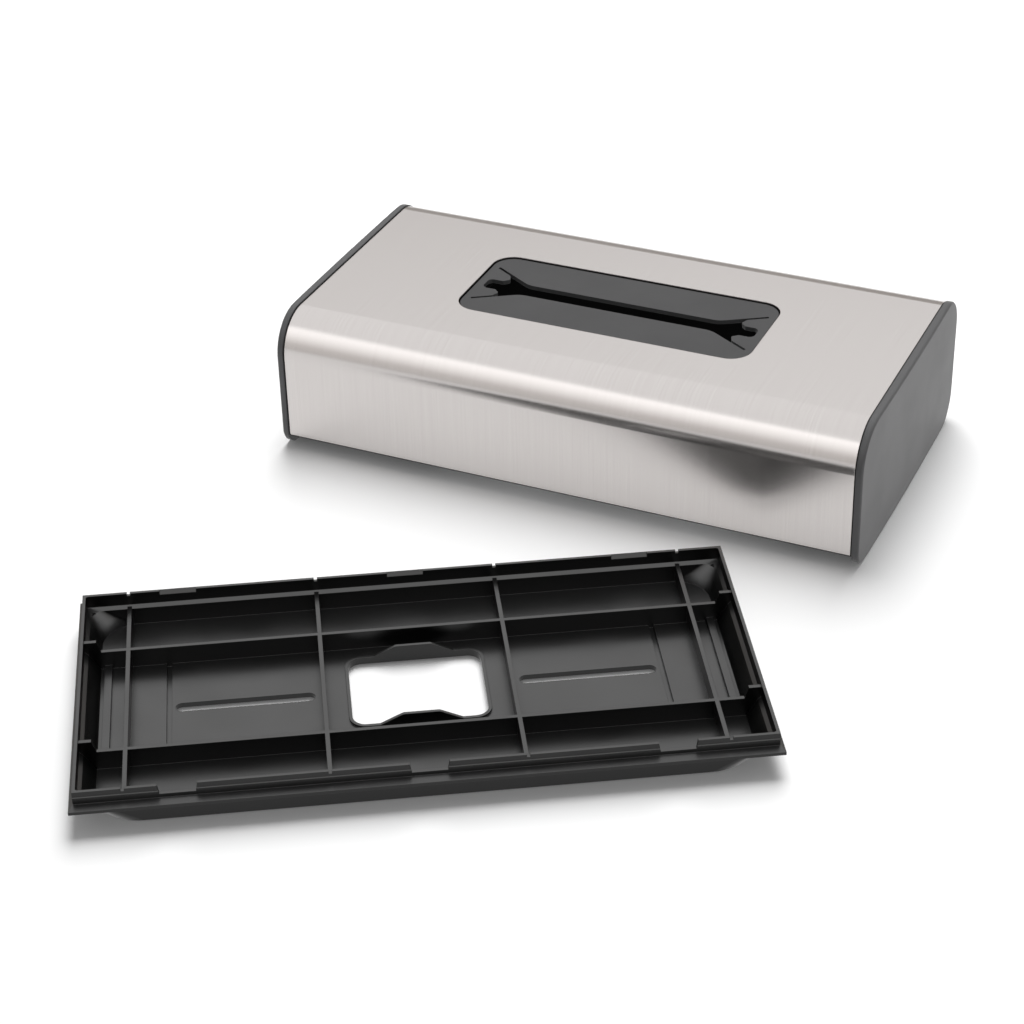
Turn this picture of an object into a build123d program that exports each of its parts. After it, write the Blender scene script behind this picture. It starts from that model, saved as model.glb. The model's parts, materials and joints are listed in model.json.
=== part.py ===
"""Facial tissue dispenser: a lift-off cover standing beside the base tray that it covers.

The origin lies on the table, under the middle of the box round both. X runs along the tray,
Y to the back and Z up. The cover stands behind the tray, turned about the vertical.
"""
import os
from math import cos, radians, sin, tan

from build123d import *

os.makedirs("parts", exist_ok=True)

# Cover outline, seen from its end
cover_length = 254.0
cover_depth = 130.0
cover_height = 60.0
front_foot_radius = 8.0
front_top_radius = 17.5
back_top_radius = 15.5
back_foot_radius = 13.0

# Where the cover stands from the middle of the tray
beside_x = 99.0
beside_y = 178.0
cover_yaw = -30.2

# Steel sleeve and the black liner that it wraps
sheet = 0.8
sleeve_set_in = 0.4
sleeve_clear = 6.0
liner_wall = 1.8
liner_slip = 0.05
lip_width = 0.5
lip_set_in = 0.15
rail_height = 0.6
bulkhead = 1.6

# End caps
cap_rim = 3.5
cap_crown = 0.7
cap_skin = 2.0
cap_edge = 3.0
cap_rib = 1.4
cap_rib_pitch = 28.0
cap_rib_count = 5
cap_bevel = 0.6
boss_radius = 4.0
peg_length = 5.0
peg_height = 1.2
peg_slip = 0.1
peg_low = 20.0
peg_high = 50.0

# Cap screws
screw_spread = 84.0
screw_level = 35.0
screw_radius = 1.45
screw_length = 3.9
screw_slip = 0.05
screw_head_radius = 2.8
screw_head_height = 1.7
socket_radius = 1.2
socket_depth = 0.9

# Aperture plate
plate_length = 127.3
plate_depth = 50.0
plate_corner = 8.7
plate_thick = 1.8
plate_recess = 0.8
plate_gap = 0.35
sleeve_gap = 0.6
ledge = 3.5
seat_depth = 2.2
seat_border = 3.0
clip_width = 9.0
clip_thick = 1.4
clip_reach = 0.8
clip_nose = 1.8
clip_slip = 0.08
clip_pitch = 36.0

# Dispensing slot in the plate
slot_half_width = 4.5
slot_margin = 3.45
slit_run = 17.7
slit_rise = 10.7
slit_width = 1.2
lobe_half_width = 4.0
tooth_run = 8.6
tooth_y = 6.2
flare_radius = 10.0
tooth_nose = 0.8
tooth_round = 1.2
lobe_round = 2.4

# Tray heights above the table
foot_proud = 1.0
tray_floor = 2.0
flange_top = 11.0
flange_thick = 2.0
flange_edge = 1.2
tray_height = 16.0

# Tray in plan
flange_gap = 0.3
flange_bearing = 0.95
flange_step = 3.3
upstand_gap = 0.3
upstand_wall = 1.2
upstand_corner = 1.0
step_rise = 1.2
tub_wall = 2.0
tub_end_set_in = 1.0
tub_side_set_in = 0.4
tub_end_slope = 30.5
tub_side_slope = 3.0
tub_corner = 8.0
tub_corner_growth = 1.2

# Tray ribs
rib_wall = 1.6
rib_top = 10.5
cross_rib_inner = 34.0
cross_rib_outer = 104.5
long_rib = 30.0
hook_length = 4.5
hook_slope = 2.0
hook_drop = 1.0

# Tray details
notch_pitch = 86.0
notch_width = 13.7
notch_depth = 3.5
notch_flare = 0.6
ramp_drop = 1.6
ramp_lip = 0.2
slit_gap = 1.2
slit_drop = 1.0
bead_radius = 0.35
bead_level = 13.6
ridge_place = 112.3
ridge_width = 2.8
ridge_height = 1.5
groove_place = 90.0
groove_width = 1.9
groove_depth = 1.2
pocket_length = 7.0
pocket_width = 3.6
pocket_depth = 1.4
pocket_set_in = 2.0
catch_slip = 0.4
catch_reach = 3.4
catch_height = 3.0

# Window and wall slots in the tray
window_length = 49.0
window_depth = 40.6
window_corner = 5.0
window_rim = 1.2
rim_height = 0.8
tab_base = 33.0
tab_top = 13.0
tab_height = 4.8
wall_slot_spacing = 125.0
wall_slot_length = 50.5
wall_slot_width = 5.0
set_back = 1.6

# Rubber feet
foot_radius = 6.0
foot_thick = 2.0
foot_end_margin = 20.0
foot_side_margin = 14.8
foot_slip = 0.05

# Places worked out from the sizes above
cap_plane = cover_length / 2 - cap_rim
sleeve_end = cap_plane - lip_width
sleeve_inside = sleeve_set_in + sheet
liner_outside = sleeve_inside + liner_slip
liner_inside = liner_outside + liner_wall
liner_foot = sleeve_clear - rail_height
plate_top = cover_height - sleeve_set_in - plate_recess
plate_under = plate_top - plate_thick
seat_under = plate_under - seat_depth
slot_end = plate_length / 2 - slot_margin
throat = slot_end - slit_run
tooth_x = slot_end - tooth_run
ledge_depth = plate_depth - 2 * ledge
flange_length = 2 * (cap_plane - flange_gap)
flange_depth = cover_depth - 2 * (liner_inside - flange_bearing)
upstand_length = 2 * (cap_plane - bulkhead - upstand_gap)
upstand_depth = flange_depth - 2 * flange_step
upstand_inside_length = upstand_length - 2 * upstand_wall
upstand_inside_depth = upstand_depth - 2 * upstand_wall
tray_under = foot_proud
floor_top = tray_under + tray_floor
flange_under = flange_top - flange_thick
step_foot = flange_top - step_rise
tub_rise = flange_under - tray_under
tub_foot_length = upstand_length - 2 * tub_end_set_in - 2 * tub_rise * tan(radians(tub_end_slope))
tub_foot_depth = upstand_depth - 2 * tub_side_set_in - 2 * tub_rise * tan(radians(tub_side_slope))
foot_x = tub_foot_length / 2 - foot_end_margin
foot_y = tub_foot_depth / 2 - foot_side_margin
catch_foot = liner_foot + (tray_height - notch_depth) - flange_top + catch_slip

# Half the room that the turned cover takes, and from it the places of both
yaw_cos = cos(radians(cover_yaw))
yaw_sin = abs(sin(radians(cover_yaw)))
crowned_half = cover_length / 2 - cap_crown
cover_reach_x = crowned_half * yaw_cos + cover_depth / 2 * yaw_sin
cover_reach_y = crowned_half * yaw_sin + cover_depth / 2 * yaw_cos
tray_x = (flange_length / 2 - beside_x - cover_reach_x) / 2
tray_y = (flange_depth / 2 - beside_y - cover_reach_y) / 2

# Planes of the cover: level with the table, and square to its length
cover_frame = Plane(Location((tray_x + beside_x, tray_y + beside_y, 0), (0, 0, cover_yaw)))
cover_across = Plane(cover_frame.origin, x_dir=cover_frame.y_dir, z_dir=cover_frame.x_dir)

# Planes of the tray: level with the table, square to its length, and square to its depth
tray_frame = Plane((tray_x, tray_y, 0))
tray_across = Plane(tray_frame.origin, x_dir=(0, 1, 0), z_dir=(1, 0, 0))
tray_upright = Plane(tray_frame.origin, x_dir=(1, 0, 0), z_dir=(0, -1, 0))


def cover_section(inset, mode=Mode.ADD):
    """Outline of the cover seen from its end, drawn inside itself by the inset."""
    front = -cover_depth / 2 + inset
    back = cover_depth / 2 - inset
    top = cover_height - inset
    corner_radii = (front_foot_radius, front_top_radius, back_top_radius, back_foot_radius)
    with BuildLine() as outline:
        FilletPolyline(
            (front, inset),
            (front, top),
            (back, top),
            (back, inset),
            radius=[radius - inset for radius in corner_radii],
            close=True,
        )
    make_face(outline.edges(), mode=mode)


def open_underneath(level):
    """Cut the cover open underneath, up to a level above the table."""
    with BuildSketch(cover_frame) as underneath:
        Rectangle(cover_length, cover_depth)
    extrude(underneath.sketch, amount=level, mode=Mode.SUBTRACT)


def plate_outline(border):
    """Rounded outline of the aperture plate, with a border round it."""
    RectangleRounded(plate_length + 2 * border, plate_depth + 2 * border, plate_corner + border)


def screw_places():
    """Places of the cap screws, seen along the cover's length."""
    return Locations((-screw_spread / 2, screw_level), (screw_spread / 2, screw_level))


def peg_places():
    """Places of the locating pegs, on the middle rib of the cap."""
    return Locations((0, peg_low), (0, peg_high))


# Steel sleeve: one sheet wrapped from the front foot over the top to the back foot
with BuildPart() as steel_sleeve:
    with BuildSketch(cover_across):
        cover_section(sleeve_set_in)
        cover_section(sleeve_inside, Mode.SUBTRACT)
    extrude(amount=sleeve_end, both=True)
    open_underneath(sleeve_clear)
    with BuildSketch(cover_frame.offset(plate_under)):
        plate_outline(sleeve_gap)
    extrude(amount=cover_height - plate_under, mode=Mode.SUBTRACT)

# Inner liner: moulded shell with end bulkheads, a seat for the plate and catches for the tray
with BuildPart() as inner_liner:
    with BuildSketch(cover_across):
        cover_section(liner_outside)
        cover_section(liner_inside, Mode.SUBTRACT)
    extrude(amount=cap_plane, both=True)
    for side in (-1, 1):
        with BuildSketch(cover_across.offset(side * (cap_plane - bulkhead))):
            cover_section(liner_outside)
        extrude(amount=side * bulkhead)
        with BuildSketch(cover_across.offset(side * sleeve_end)):
            cover_section(sleeve_set_in + lip_set_in)
        extrude(amount=side * lip_width)
    with BuildSketch(cover_frame.offset(seat_under)):
        plate_outline(seat_border)
    extrude(amount=plate_under - seat_under)
    with BuildSketch(cover_frame.offset(seat_under)):
        plate_outline(-ledge)
    extrude(amount=cover_height - seat_under, mode=Mode.SUBTRACT)
    with BuildSketch(cover_frame.offset(plate_under)):
        plate_outline(plate_gap)
    extrude(amount=cover_height - plate_under, mode=Mode.SUBTRACT)
    # Rails that close the foot of the sleeve
    with BuildSketch(cover_across):
        with Locations((0, sleeve_clear - rail_height / 2)):
            Rectangle(cover_depth, rail_height)
        cover_section(sleeve_set_in + lip_set_in, Mode.INTERSECT)
        cover_section(liner_inside, Mode.SUBTRACT)
    extrude(amount=cap_plane, both=True)
    # Wedge catches at the front that snap into the notches of the tray
    catch_half = notch_width / 2 - notch_flare - catch_slip
    front_face = liner_inside - cover_depth / 2
    for place in (-notch_pitch, 0, notch_pitch):
        with BuildSketch(cover_across.offset(place)):
            with BuildLine():
                Polyline(
                    (front_face, catch_foot),
                    (front_face + catch_reach, catch_foot + catch_height / 2),
                    (front_face + catch_reach, catch_foot + catch_height),
                    (front_face, catch_foot + 2 * catch_height),
                    close=True,
                )
            make_face()
        extrude(amount=catch_half, both=True)
    open_underneath(liner_foot)
    # Holes for the cap screws and the locating pegs
    for side in (-1, 1):
        with BuildSketch(cover_across.offset(side * (cap_plane - bulkhead))):
            with screw_places():
                Circle(screw_radius + screw_slip)
            with peg_places():
                Rectangle(cap_rib + 2 * peg_slip, peg_length + 2 * peg_slip)
        extrude(amount=side * bulkhead, mode=Mode.SUBTRACT)


def slot_quarter():
    """One quarter of the dispensing slot: band, flared throat, tear slit and blunt lobe."""
    slit_size = (slit_run**2 + slit_rise**2) ** 0.5
    along = Vector(slit_run, slit_rise) / slit_size
    across = Vector(along.Y, -along.X) * slit_width
    tip = Vector(slot_end, slot_half_width + slit_rise)
    tip_inner = tip + across
    tooth_outer = tip_inner - along * (slit_size / 2 - slit_width)
    with BuildLine() as quarter:
        outline = FilletPolyline(
            (0, slot_half_width),
            (throat, slot_half_width),
            tip,
            tip_inner,
            tooth_outer,
            (tooth_x, tooth_y),
            (tooth_x + slit_width * 2, lobe_half_width),
            (slot_end, lobe_half_width),
            (slot_end, 0),
            radius=[
                flare_radius,
                slit_width / 3,
                slit_width / 3,
                tooth_nose,
                tooth_round,
                tooth_round,
                lobe_round,
            ],
        )
        Polyline(outline @ 1, (0, 0), outline @ 0)
    make_face(quarter.edges())


# Aperture plate: dark insert with the dispensing slot, held by clips under the seat
with BuildSketch() as dispensing_slot:
    slot_quarter()
    mirror(about=Plane.XZ)
    mirror(about=Plane.YZ)

with BuildPart() as aperture_plate:
    with BuildSketch(cover_frame.offset(plate_under)):
        plate_outline(0)
        add(dispensing_slot.sketch, mode=Mode.SUBTRACT)
    extrude(amount=plate_thick)
    clip_face = ledge_depth / 2 - clip_slip
    clip_foot = seat_under - clip_slip - clip_nose
    for place in (-clip_pitch, 0, clip_pitch):
        with BuildSketch(cover_across.offset(place)):
            for side in (-1, 1):
                with BuildLine():
                    Polyline(
                        (side * clip_face, plate_under),
                        (side * clip_face, seat_under - clip_slip),
                        (side * (clip_face + clip_reach), seat_under - clip_slip),
                        (side * (clip_face - clip_thick / 2), clip_foot),
                        (side * (clip_face - clip_thick), clip_foot),
                        (side * (clip_face - clip_thick), plate_under),
                        close=True,
                    )
                make_face()
        extrude(amount=clip_width / 2, both=True)

# Right end cap: crowned plate, ribbed inside, with screw bosses and locating pegs
with BuildPart() as end_cap_right:
    with BuildSketch(cover_across.offset(cap_plane)):
        cover_section(0)
    extrude(amount=cap_rim)
    # Crown: the outer face is a shallow barrel about the vertical
    barrel_half = cover_depth / 2 + cap_rim
    barrel_edge = cover_length / 2 - cap_crown * (2 * barrel_half / cover_depth) ** 2
    with BuildSketch(cover_frame.offset(-cap_rim)):
        with BuildLine():
            crown_arc = ThreePointArc(
                (barrel_edge, -barrel_half), (cover_length / 2, 0), (barrel_edge, barrel_half)
            )
            Polyline(
                crown_arc @ 1,
                (cap_plane - cap_rim, barrel_half),
                (cap_plane - cap_rim, -barrel_half),
                crown_arc @ 0,
            )
        make_face()
    extrude(amount=cover_height + 2 * cap_rim, mode=Mode.INTERSECT)
    crown = end_cap_right.faces().sort_by(Axis(cover_frame.origin, cover_frame.x_dir))[-1]
    chamfer(crown.edges(), length=cap_bevel)
    # Pocket inside the rim, with ribs left standing
    with BuildSketch(cover_across.offset(cap_plane)):
        cover_section(cap_edge)
        with Locations((0, cover_height / 2)):
            Rectangle(cover_depth, cap_rib, mode=Mode.SUBTRACT)
            with GridLocations(cap_rib_pitch, 0, cap_rib_count, 1):
                Rectangle(cap_rib, cover_height, mode=Mode.SUBTRACT)
        with screw_places():
            Circle(boss_radius, mode=Mode.SUBTRACT)
    extrude(amount=cap_rim - cap_skin, mode=Mode.SUBTRACT)
    with BuildSketch(cover_across.offset(cap_plane)):
        with peg_places():
            Rectangle(cap_rib, peg_length)
    extrude(amount=-peg_height)
    with BuildSketch(cover_across.offset(cap_plane)):
        with screw_places():
            Circle(screw_radius + screw_slip)
    extrude(amount=screw_length - bulkhead + screw_slip, mode=Mode.SUBTRACT)

with BuildPart() as end_cap_left:
    mirror(end_cap_right.part, about=cover_across)

# Cap screws: socket pan heads on the inside of the liner's bulkheads
with BuildPart() as cap_screws_right:
    head_seat = cap_plane - bulkhead
    with BuildSketch(cover_across.offset(head_seat)):
        with screw_places():
            Circle(screw_radius)
    extrude(amount=screw_length)
    with BuildSketch(cover_across.offset(head_seat)):
        with screw_places():
            Circle(screw_head_radius)
    extrude(amount=-screw_head_height)
    with BuildSketch(cover_across.offset(head_seat - screw_head_height)):
        with screw_places():
            RegularPolygon(socket_radius, 6)
    extrude(amount=socket_depth, mode=Mode.SUBTRACT)

with BuildPart() as cap_screws_left:
    mirror(cap_screws_right.part, about=cover_across)


def tub_plan(level, inset):
    """Rounded plan of the tray's tub at a level: narrower and rounder towards the table."""
    drop = flange_under - level
    RectangleRounded(
        upstand_length - 2 * (tub_end_set_in + inset + drop * tan(radians(tub_end_slope))),
        upstand_depth - 2 * (tub_side_set_in + inset + drop * tan(radians(tub_side_slope))),
        tub_corner + drop * tub_corner_growth - inset,
    )


def upstand_plan():
    """Plan of the room inside the tray's upstand."""
    RectangleRounded(upstand_inside_length, upstand_inside_depth, upstand_corner)


# Room inside the base tray: the tub, a step up to the upstand, and the ribs left standing
with BuildPart() as tray_room:
    with BuildSketch(tray_frame.offset(floor_top)):
        tub_plan(floor_top, tub_wall)
    with BuildSketch(tray_frame.offset(step_foot)):
        tub_plan(step_foot, tub_wall)
    loft()
    with BuildSketch(tray_frame.offset(step_foot)):
        tub_plan(step_foot, tub_wall)
    with BuildSketch(tray_frame.offset(flange_top)):
        upstand_plan()
    loft()
    with BuildSketch(tray_frame.offset(flange_top)):
        upstand_plan()
    extrude(amount=tray_height - flange_top)
    with BuildSketch(tray_frame.offset(floor_top)):
        for place in (-cross_rib_outer, -cross_rib_inner, cross_rib_inner, cross_rib_outer):
            with Locations((place, 0)):
                Rectangle(rib_wall, upstand_depth)
        for place in (-long_rib, long_rib):
            with Locations((0, place)):
                Rectangle(upstand_length, rib_wall)
    extrude(amount=rib_top - floor_top, mode=Mode.SUBTRACT)
    # Raised hooks where the long ribs meet the end walls
    wall_face = upstand_inside_length / 2
    hook_top = tray_height - hook_drop
    for end in (-1, 1):
        for place in (-long_rib, long_rib):
            with BuildSketch(tray_upright.offset(-place)):
                with BuildLine():
                    Polyline(
                        (end * (wall_face + upstand_wall / 2), flange_under),
                        (end * (wall_face + upstand_wall / 2), hook_top),
                        (end * (wall_face - hook_length), hook_top),
                        (end * (wall_face - hook_length - hook_slope), flange_under),
                        close=True,
                    )
                make_face()
            extrude(amount=rib_wall / 2, both=True, mode=Mode.SUBTRACT)
    # Low ridges across the floor, between the long ribs
    with BuildSketch(tray_frame.offset(floor_top)):
        with Locations((-ridge_place, 0), (ridge_place, 0)):
            Rectangle(ridge_width, 2 * long_rib)
    extrude(amount=ridge_height, mode=Mode.SUBTRACT)

# Base tray: flange with a bevelled top, upstand and drafted tub
with BuildPart() as base_tray:
    with BuildSketch(tray_frame.offset(tray_under)):
        tub_plan(tray_under, 0)
    with BuildSketch(tray_frame.offset(flange_under)):
        tub_plan(flange_under, 0)
    loft()
    with BuildSketch(tray_frame.offset(flange_under)):
        Rectangle(flange_length, flange_depth)
    extrude(amount=flange_edge)
    with BuildSketch(tray_frame.offset(flange_under + flange_edge)):
        Rectangle(flange_length, flange_depth)
    with BuildSketch(tray_frame.offset(flange_top)):
        Rectangle(upstand_length, upstand_depth)
    loft()
    with BuildSketch(tray_frame.offset(flange_under)):
        Rectangle(upstand_length, upstand_depth)
    extrude(amount=tray_height - flange_under)
    # Bead along the outside of both long walls
    for side in (-1, 1):
        with BuildSketch(tray_across):
            with Locations((side * upstand_depth / 2, bead_level)):
                Circle(bead_radius)
        extrude(amount=upstand_length / 2, both=True)
    add(tray_room.part, mode=Mode.SUBTRACT)
    # Grooves across the floor, between the long ribs
    with BuildSketch(tray_frame.offset(floor_top)):
        with Locations((-groove_place, 0), (groove_place, 0)):
            Rectangle(groove_width, 2 * long_rib - rib_wall)
    extrude(amount=-groove_depth, mode=Mode.SUBTRACT)
    # Open notches in the front upstand, ramps in the top of the back one
    for place in (-notch_pitch, 0, notch_pitch):
        with BuildSketch(tray_upright):
            with BuildLine():
                Polyline(
                    (place - notch_width / 2, tray_height),
                    (place - notch_width / 2 + notch_flare, tray_height - notch_depth),
                    (place + notch_width / 2 - notch_flare, tray_height - notch_depth),
                    (place + notch_width / 2, tray_height),
                    close=True,
                )
            make_face()
        extrude(amount=flange_depth / 2, mode=Mode.SUBTRACT)
        with BuildSketch(tray_across.offset(place)):
            with BuildLine():
                Polyline(
                    (upstand_inside_depth / 2, tray_height - ramp_drop),
                    (upstand_depth / 2 - ramp_lip, tray_height),
                    (upstand_inside_depth / 2, tray_height),
                    close=True,
                )
            make_face()
        extrude(amount=notch_width / 2, both=True, mode=Mode.SUBTRACT)
    # Nicks in both long upstands, in line with the cross ribs
    for place in (-cross_rib_outer, -cross_rib_inner, cross_rib_inner, cross_rib_outer):
        with BuildSketch(tray_upright):
            with Locations((place, tray_height - slit_drop / 2)):
                Rectangle(slit_gap, slit_drop)
        extrude(amount=flange_depth / 2, both=True, mode=Mode.SUBTRACT)
    # Triangular pockets in the sloping corners
    pocket_x = wall_face - pocket_set_in
    pocket_y = upstand_inside_depth / 2 - pocket_set_in
    with BuildSketch(tray_frame.offset(flange_top)):
        for end in (-1, 1):
            for side in (-1, 1):
                with BuildLine():
                    Polyline(
                        (end * pocket_x, side * pocket_y),
                        (end * (pocket_x - pocket_length), side * (pocket_y - pocket_width / 2)),
                        (end * pocket_x, side * (pocket_y - pocket_width)),
                        close=True,
                    )
                make_face()
    extrude(amount=-pocket_depth, mode=Mode.SUBTRACT)
    # Window with a low rim and a finger tab on each long edge
    with BuildSketch(tray_frame.offset(floor_top)):
        with Locations((0, set_back)):
            RectangleRounded(
                window_length + 2 * window_rim, window_depth + 2 * window_rim, window_corner + window_rim
            )
    extrude(amount=rim_height)
    for side in (-1, 1):
        tab_face = set_back + side * (window_depth / 2 + window_rim / 2)
        with BuildSketch(tray_upright.offset(-tab_face)):
            with BuildLine():
                FilletPolyline(
                    (-tab_base / 2, floor_top),
                    (-tab_top / 2, floor_top + tab_height),
                    (tab_top / 2, floor_top + tab_height),
                    (tab_base / 2, floor_top),
                    radius=[0, tab_height / 2, tab_height / 2, 0],
                    close=True,
                )
            make_face()
        extrude(amount=window_rim / 2, both=True)
    with BuildSketch(tray_frame.offset(tray_under)):
        with Locations((0, set_back)):
            RectangleRounded(window_length, window_depth, window_corner)
            with GridLocations(wall_slot_spacing, 0, 2, 1):
                SlotOverall(wall_slot_length, wall_slot_width)
    extrude(amount=flange_under, mode=Mode.SUBTRACT)
    # Sockets for the rubber feet
    with BuildSketch(tray_frame.offset(tray_under)):
        with GridLocations(2 * foot_x, 2 * foot_y, 2, 2):
            Circle(foot_radius + foot_slip)
    extrude(amount=foot_thick - foot_proud, mode=Mode.SUBTRACT)


def rubber_foot(end, side):
    """Round rubber foot pressed into its socket."""
    with BuildPart() as foot:
        with BuildSketch(tray_frame):
            with Locations((end * foot_x, side * foot_y)):
                Circle(foot_radius)
        extrude(amount=foot_thick)
    return foot.part


pieces = {
    "base_tray": base_tray.part,
    "steel_sleeve": steel_sleeve.part,
    "inner_liner": inner_liner.part,
    "aperture_plate": aperture_plate.part,
    "end_cap_left": end_cap_left.part,
    "end_cap_right": end_cap_right.part,
    "cap_screws_left": cap_screws_left.part,
    "cap_screws_right": cap_screws_right.part,
    "foot_front_left": rubber_foot(-1, -1),
    "foot_front_right": rubber_foot(1, -1),
    "foot_back_left": rubber_foot(-1, 1),
    "foot_back_right": rubber_foot(1, 1),
}

for name, piece in pieces.items():
    piece.label = name
    export_step(piece, f"parts/{name}.step")
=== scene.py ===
"""Facial tissue dispenser: a steel-wrapped cover standing behind its black base tray."""
import json
import math

import bpy
from mathutils import Matrix, Vector

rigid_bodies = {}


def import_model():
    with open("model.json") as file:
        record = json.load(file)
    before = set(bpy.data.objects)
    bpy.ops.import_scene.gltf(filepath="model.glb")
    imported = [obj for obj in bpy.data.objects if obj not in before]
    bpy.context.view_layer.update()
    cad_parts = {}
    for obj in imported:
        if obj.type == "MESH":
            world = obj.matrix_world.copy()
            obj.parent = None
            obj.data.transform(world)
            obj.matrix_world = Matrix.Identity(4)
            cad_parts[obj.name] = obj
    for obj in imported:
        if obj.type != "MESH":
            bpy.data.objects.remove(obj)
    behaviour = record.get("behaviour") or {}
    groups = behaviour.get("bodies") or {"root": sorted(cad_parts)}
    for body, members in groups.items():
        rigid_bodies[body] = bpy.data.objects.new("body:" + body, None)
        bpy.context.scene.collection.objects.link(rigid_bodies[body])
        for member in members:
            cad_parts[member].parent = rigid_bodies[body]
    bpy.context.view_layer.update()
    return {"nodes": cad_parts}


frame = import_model()
for item in bpy.data.objects:
    item.select_set(False)


# The camera: a long lens, well above the table, that looks down on both pieces. Its place
# and turn were fitted to the corners of the tray and the cover.
LENS_MM = 90.36
SENSOR_MM = 36.0
LOOK_DOWN = math.radians(32.52)
LOOK_ASIDE = math.radians(-5.35)
HORIZON_TILT = math.radians(-1.49)
CAMERA_PLACE = (-0.0934, -0.8710, 0.5593)

lens = bpy.data.cameras.new("studio_camera")
lens.lens = LENS_MM
lens.sensor_width = SENSOR_MM
lens.clip_start = 0.01
lens.clip_end = 50.0
camera = bpy.data.objects.new("studio_camera", lens)
bpy.context.scene.collection.objects.link(camera)
camera.matrix_world = (
    Matrix.Translation(CAMERA_PLACE)
    @ Matrix.Rotation(LOOK_ASIDE, 4, "Z")
    @ Matrix.Rotation(math.pi / 2 - LOOK_DOWN, 4, "X")
    @ Matrix.Rotation(HORIZON_TILT, 4, "Z")
)
bpy.context.scene.camera = camera
bpy.context.scene.view_settings.view_transform = "Standard"


# The table: a matt white board, lit by the lamp and shaded by the part. It glows a little
# for the camera, so that it runs out to white, and more for the steel that mirrors it.
FLOOR_COLOUR = "#f2f2f2"
FLOOR_SIZE = 12.0
GLOW = 1.15
GLOW_TO_CAMERA = 0.06
GLOW_TO_METAL = 0.57


def linear(hex_colour):
    """An sRGB hex colour as the linear RGBA that a shader takes."""
    shades = [int(hex_colour[i : i + 2], 16) / 255 for i in (1, 3, 5)]
    return [s / 12.92 if s <= 0.04045 else ((s + 0.055) / 1.055) ** 2.4 for s in shades] + [1.0]


def add_node(tree, kind, settings=None, **links):
    """Add a node with its settings. Each link or value goes to the input of that name, or
    to the input of that number, as in i0, where a node has several of one name."""
    made = tree.nodes.new(kind)
    for name, value in (settings or {}).items():
        setattr(made, name, value)
    for name, value in links.items():
        numbered = name[0] == "i" and name[1:].isdigit()
        place = made.inputs[int(name[1:]) if numbered else name.replace("_", " ")]
        if isinstance(value, bpy.types.NodeSocket):
            tree.links.new(value, place)
        else:
            place.default_value = value
    return made


bpy.ops.mesh.primitive_plane_add(size=FLOOR_SIZE, location=(0, 0, 0))
floor = bpy.context.object
floor.name = "studio_floor"
floor.select_set(False)
floor_finish = bpy.data.materials.new("matt_white_table")
floor_finish.use_nodes = True
tree = floor_finish.node_tree
tree.nodes.clear()
path = add_node(tree, "ShaderNodeLightPath")
to_camera = add_node(
    tree,
    "ShaderNodeMath",
    {"operation": "MULTIPLY"},
    i0=path.outputs["Is Camera Ray"],
    i1=GLOW_TO_CAMERA,
)
bounced = add_node(
    tree,
    "ShaderNodeMath",
    {"operation": "MAXIMUM"},
    i0=path.outputs["Is Glossy Ray"],
    i1=path.outputs["Is Transmission Ray"],
)
share = add_node(
    tree,
    "ShaderNodeMath",
    {"operation": "MULTIPLY_ADD"},
    i0=bounced.outputs[0],
    i1=GLOW_TO_METAL,
    i2=to_camera.outputs[0],
)
matt = add_node(tree, "ShaderNodeBsdfDiffuse", Color=linear(FLOOR_COLOUR))
glow = add_node(tree, "ShaderNodeEmission", Color=(1, 1, 1, 1), Strength=GLOW)
both = add_node(
    tree,
    "ShaderNodeMixShader",
    i0=share.outputs[0],
    i1=matt.outputs[0],
    i2=glow.outputs[0],
)
add_node(tree, "ShaderNodeOutputMaterial", Surface=both.outputs[0])
floor.data.materials.append(floor_finish)


# The studio round it: plain white to the camera, and a soft even light on the part. What
# the steel mirrors is shaded by height: behind the part a grey wall under a white ceiling,
# and in front a paler wall that brightens up to a softbox nearly overhead.
SKY_LIGHT = 0.3
WALL_SEEN = 1.22
BEHIND = (
    (0.0, "#a19d99"),
    (0.38, "#a9a5a1"),
    (0.435, "#ffffff"),
)
SOFTBOX_SEEN = 2.0
IN_FRONT = (
    (0.0, "#a9a7a5"),
    (0.25, "#b4b2b0"),
    (0.5, "#dcdbda"),
    (0.80, "#ffffff"),
    (0.82, "#cbcbcb"),
)

studio = bpy.data.worlds.new("studio_sky")
bpy.context.scene.world = studio
studio.use_nodes = True
tree = studio.node_tree
tree.nodes.clear()
way = add_node(tree, "ShaderNodeTexCoord")
heading = add_node(tree, "ShaderNodeSeparateXYZ", Vector=way.outputs["Generated"])


def wall_shades(steps):
    """A ramp of shades from the table's level up to overhead."""
    ramp = add_node(tree, "ShaderNodeValToRGB", Fac=heading.outputs["Z"])
    shades = ramp.color_ramp.elements
    while len(shades) < len(steps):
        shades.new(1.0)
    for shade, (level, colour) in zip(shades, steps):
        shade.position = level
        shade.color = linear(colour)
    return ramp.outputs[0]


path = add_node(tree, "ShaderNodeLightPath")
soft = add_node(tree, "ShaderNodeBackground", Color=linear("#ffffff"), Strength=SKY_LIGHT)
behind = add_node(tree, "ShaderNodeBackground", Color=wall_shades(BEHIND), Strength=WALL_SEEN)
in_front = add_node(
    tree, "ShaderNodeBackground", Color=wall_shades(IN_FRONT), Strength=SOFTBOX_SEEN
)
nearer = add_node(
    tree, "ShaderNodeMath", {"operation": "LESS_THAN"}, i0=heading.outputs["Y"], i1=0.0
)
mirrored = add_node(
    tree,
    "ShaderNodeMixShader",
    i0=nearer.outputs[0],
    i1=behind.outputs[0],
    i2=in_front.outputs[0],
)
white = add_node(tree, "ShaderNodeBackground", Color=linear("#ffffff"), Strength=1.0)
to_part = add_node(
    tree,
    "ShaderNodeMixShader",
    i0=path.outputs["Is Glossy Ray"],
    i1=soft.outputs[0],
    i2=mirrored.outputs[0],
)
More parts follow.
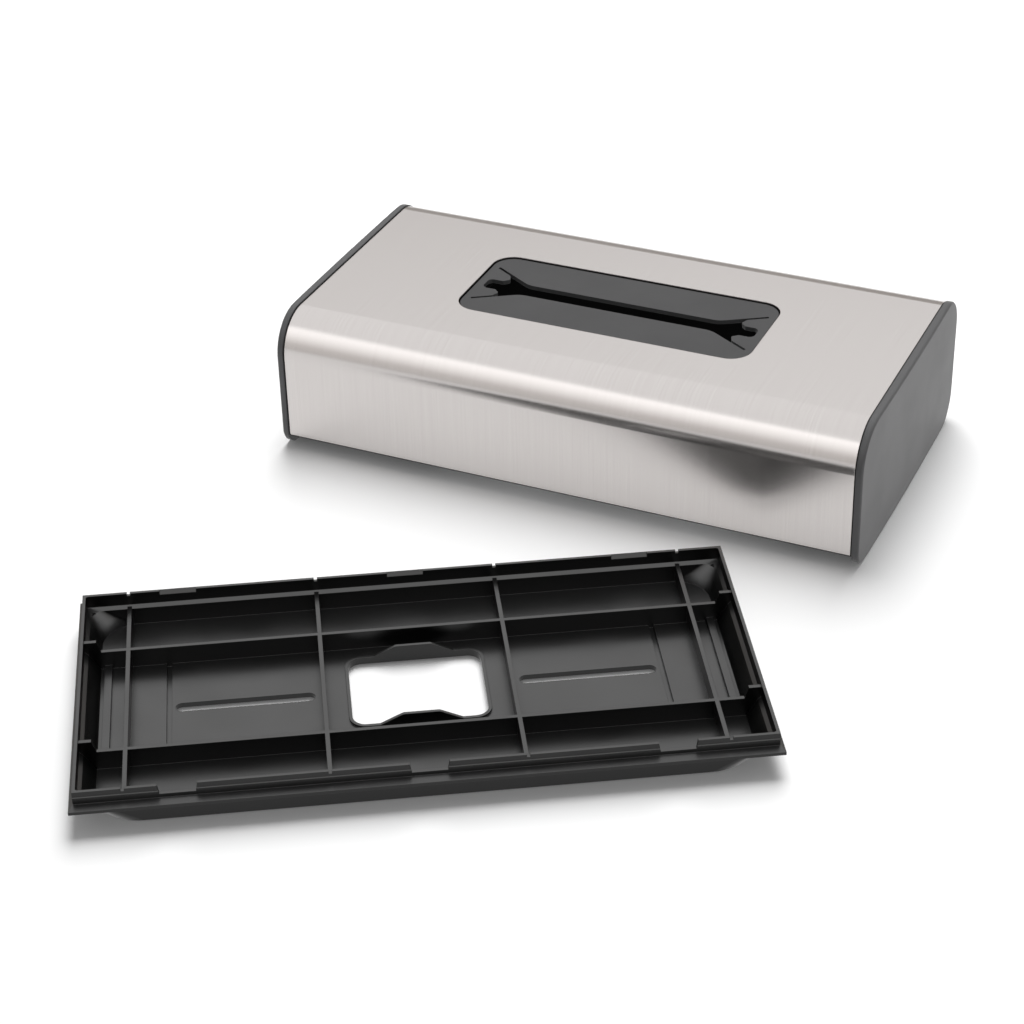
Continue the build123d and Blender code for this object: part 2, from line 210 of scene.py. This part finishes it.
backdrop = add_node(
    tree,
    "ShaderNodeMixShader",
    i0=path.outputs["Is Camera Ray"],
    i1=to_part.outputs[0],
    i2=white.outputs[0],
)
add_node(tree, "ShaderNodeOutputWorld", Surface=backdrop.outputs[0])


# The lamp: one large softbox behind and above the part, so that the shadows fall softly to
# the front. Nothing mirrors it: the steel shows the shaded studio in its place.
LAMP_PLACE = (0.25, 1.05, 2.0)
LAMP_SIZE = (1.3, 2.2)
LAMP_WATTS = 71.0

lamp = bpy.data.lights.new("overhead_softbox", "AREA")
lamp.shape = "RECTANGLE"
lamp.size, lamp.size_y = LAMP_SIZE
lamp.energy = LAMP_WATTS
holder = bpy.data.objects.new("overhead_softbox", lamp)
bpy.context.scene.collection.objects.link(holder)
holder.location = LAMP_PLACE
holder.visible_glossy = False
holder.rotation_euler = (-Vector(LAMP_PLACE)).to_track_quat("-Z", "Y").to_euler()


# Base tray: black ABS, injection moulded in one piece, ribs, hooks and window rim included.
# Its level faces are spark-eroded and shine satin at a low angle. Its upright walls get
# under half that shine as painted shade, so that they read darker than the level faces.
TRAY_COLOUR = "#060606"
WALL_SHINE_PAINTED_SHADE = 0.4
# Where the plastic flowed, its gloss changes in clouds about 25 mm across
FLOW_MM = 25.0
# Spark erosion leaves pits about 0.1 mm wide. Every moulding's pits are drawn 4 to 8 times
# as wide, so that they show
TRAY_PITS_MM = 0.5
PIT_DEPTH = 0.00003
# Edges come out of the mould slightly round
MOULD_EDGE = 0.00025


def moulded(name, colour, roughness, pits_mm, spread=0.03, edge=MOULD_EDGE, specular=0.5):
    """A moulding of one colour all through, with pits, cloudy gloss and soft edges."""
    made = bpy.data.materials.new(name)
    made.use_nodes = True
    tree = made.node_tree
    shader = tree.nodes["Principled BSDF"]
    shader.inputs["Base Color"].default_value = linear(colour)
    shader.inputs["Specular IOR Level"].default_value = specular
    place = add_node(tree, "ShaderNodeTexCoord")
    flow = add_node(
        tree,
        "ShaderNodeTexNoise",
        Vector=place.outputs["Object"],
        Scale=1000 / FLOW_MM,
        Detail=3.0,
    )
    gloss = add_node(
        tree,
        "ShaderNodeMapRange",
        Value=flow.outputs[0],
        From_Min=0.35,
        From_Max=0.65,
        To_Min=roughness - spread,
        To_Max=roughness + spread,
    )
    tree.links.new(gloss.outputs[0], shader.inputs["Roughness"])
    pits = add_node(
        tree,
        "ShaderNodeTexNoise",
        Vector=place.outputs["Object"],
        Scale=1000 / pits_mm,
        Detail=2.0,
    )
    rounded = add_node(tree, "ShaderNodeBevel", {"samples": 4}, Radius=edge)
    relief = add_node(
        tree,
        "ShaderNodeBump",
        Strength=0.25,
        Distance=PIT_DEPTH,
        Height=pits.outputs[0],
        Normal=rounded.outputs[0],
    )
    tree.links.new(relief.outputs[0], shader.inputs["Normal"])
    return made


def dress(node, material):
    """Give a CAD node one finish all over."""
    slots = frame["nodes"][node].data.materials
    slots.clear()
    slots.append(material)


tray_finish = moulded("black_tray_abs", TRAY_COLOUR, roughness=0.32, pits_mm=TRAY_PITS_MM)
tree = tray_finish.node_tree
shader = tree.nodes["Principled BSDF"]
# Painted shade: the specular level drops on upright faces, so the walls read darker than the
# floor.
place = add_node(tree, "ShaderNodeTexCoord")
facing = add_node(tree, "ShaderNodeSeparateXYZ", Vector=place.outputs["Normal"])
level = add_node(tree, "ShaderNodeMath", {"operation": "ABSOLUTE"}, i0=facing.outputs["Z"])
shine = add_node(tree, "ShaderNodeMapRange", Value=level.outputs[0], To_Min=WALL_SHINE_PAINTED_SHADE)
tree.links.new(shine.outputs[0], shader.inputs["Specular IOR Level"])
dress("base_tray", tray_finish)


# Rubber feet: four moulded pads of black rubber, which feels dry and looks dull. They are
# pressed into sockets under the tray.
FOOT_COLOUR = "#141414"
FOOT_PITS_MM = 0.8

rubber = moulded("black_rubber", FOOT_COLOUR, roughness=0.8, pits_mm=FOOT_PITS_MM)
for node in ("foot_front_left", "foot_front_right", "foot_back_left", "foot_back_right"):
    dress(node, rubber)


# Inner liner: black ABS, moulded. Its colour is pushed to near black and its shine almost
# taken away, as painted shade. It carries sleeve, plate and caps, and is seen only as a line
# round the steel and as the dark behind the slot, where it stands in for the shade there.
LINER_BLACK_AND_SHADE = "#030303"
LINER_PITS_MM = 0.6

# Painted shade: a near-black colour and a specular level of 0.05 make the gap round the steel
# and the slot read dark.
liner_painted_shade = moulded(
    "black_liner_painted_shade", LINER_BLACK_AND_SHADE, roughness=0.6, pits_mm=LINER_PITS_MM, specular=0.05
)
dress("inner_liner", liner_painted_shade)


# Steel sleeve: one stainless sheet, belt-brushed and then bent, so that the grain runs up
# the front, over the top and down the back. Lights spread sideways across the grain.
STEEL_DARK = "#c0bbb9"
STEEL_LIGHT = "#cac6c4"
COVER_YAW = math.radians(-30.2)
# The belt's scratches are under 0.1 mm wide and some 60 mm long. They are drawn a little
# wider, so that they show
GRAIN_MM = 0.12
GRAIN_RUN_MM = 60.0
SCRATCH_DEPTH = 0.0001
SHEET_EDGE = 0.0004

steel = bpy.data.materials.new("brushed_stainless")
steel.use_nodes = True
tree = steel.node_tree
shader = tree.nodes["Principled BSDF"]
shader.inputs["Metallic"].default_value = 1.0
shader.inputs["Anisotropic"].default_value = 0.6
place = add_node(tree, "ShaderNodeTexCoord")
turned = add_node(
    tree, "ShaderNodeMapping", Vector=place.outputs["Object"], Rotation=(0, 0, -COVER_YAW)
)
drawn_out = add_node(
    tree,
    "ShaderNodeMapping",
    Vector=turned.outputs[0],
    Scale=(1000 / GRAIN_MM, 1000 / GRAIN_RUN_MM, 1000 / GRAIN_RUN_MM),
)
grain = add_node(
    tree,
    "ShaderNodeTexNoise",
    Vector=drawn_out.outputs[0],
    Scale=1.0,
    Detail=4.0,
    Roughness=0.65,
)
rough = add_node(
    tree,
    "ShaderNodeMapRange",
    Value=grain.outputs[0],
    From_Min=0.3,
    From_Max=0.7,
    To_Min=0.21,
    To_Max=0.26,
)
tree.links.new(rough.outputs[0], shader.inputs["Roughness"])
tone = add_node(tree, "ShaderNodeValToRGB", Fac=grain.outputs[0])
tone.color_ramp.elements[0].position = 0.3
tone.color_ramp.elements[0].color = linear(STEEL_DARK)
tone.color_ramp.elements[1].position = 0.7
tone.color_ramp.elements[1].color = linear(STEEL_LIGHT)
tree.links.new(tone.outputs[0], shader.inputs["Base Color"])
along = add_node(tree, "ShaderNodeCombineXYZ", X=math.cos(COVER_YAW), Y=math.sin(COVER_YAW))
along_cover = add_node(
    tree,
    "ShaderNodeVectorTransform",
    {"vector_type": "VECTOR", "convert_from": "OBJECT", "convert_to": "WORLD"},
    Vector=along.outputs[0],
)
tree.links.new(along_cover.outputs[0], shader.inputs["Tangent"])
rounded = add_node(tree, "ShaderNodeBevel", {"samples": 4}, Radius=SHEET_EDGE)
relief = add_node(
    tree,
    "ShaderNodeBump",
    Strength=0.05,
    Distance=SCRATCH_DEPTH,
    Height=grain.outputs[0],
    Normal=rounded.outputs[0],
)
tree.links.new(relief.outputs[0], shader.inputs["Normal"])
dress("steel_sleeve", steel)


# Aperture plate: dark grey ABS, moulded with a fine matt texture. Its clips snap through
# the liner's seat, and tissues are drawn through its slot.
PLATE_COLOUR = "#313132"
PLATE_PITS_MM = 0.4

plate_finish = moulded("matt_grey_abs", PLATE_COLOUR, roughness=0.5, pits_mm=PLATE_PITS_MM)
dress("aperture_plate", plate_finish)


# End caps: dark grey ABS, moulded with a satin face and a soft edge, and screwed to the
# liner's ends from inside.
CAP_COLOUR = "#464647"
CAP_PITS_MM = 0.5
CAP_EDGE = 0.0012

cap_finish = moulded(
    "satin_grey_abs",
    CAP_COLOUR,
    roughness=0.45,
    pits_mm=CAP_PITS_MM,
    spread=0.02,
    edge=CAP_EDGE,
)
dress("end_cap_left", cap_finish)
dress("end_cap_right", cap_finish)


# Cap screws: short steel screws, zinc plated in a barrel, which leaves them bluish and
# slightly clouded. They are driven from inside the liner.
ZINC_DARK = "#a4a8ad"
ZINC_LIGHT = "#c2c4c6"
CLOUD_MM = 1.5

zinc = bpy.data.materials.new("zinc_plated_steel")
zinc.use_nodes = True
tree = zinc.node_tree
shader = tree.nodes["Principled BSDF"]
shader.inputs["Metallic"].default_value = 1.0
place = add_node(tree, "ShaderNodeTexCoord")
cloud = add_node(
    tree,
    "ShaderNodeTexNoise",
    Vector=place.outputs["Object"],
    Scale=1000 / CLOUD_MM,
    Detail=2.0,
)
tone = add_node(tree, "ShaderNodeValToRGB", Fac=cloud.outputs[0])
tone.color_ramp.elements[0].position = 0.35
tone.color_ramp.elements[0].color = linear(ZINC_DARK)
tone.color_ramp.elements[1].position = 0.65
tone.color_ramp.elements[1].color = linear(ZINC_LIGHT)
tree.links.new(tone.outputs[0], shader.inputs["Base Color"])
rough = add_node(tree, "ShaderNodeMapRange", Value=cloud.outputs[0], To_Min=0.38, To_Max=0.24)
tree.links.new(rough.outputs[0], shader.inputs["Roughness"])
dress("cap_screws_left", zinc)
dress("cap_screws_right", zinc)
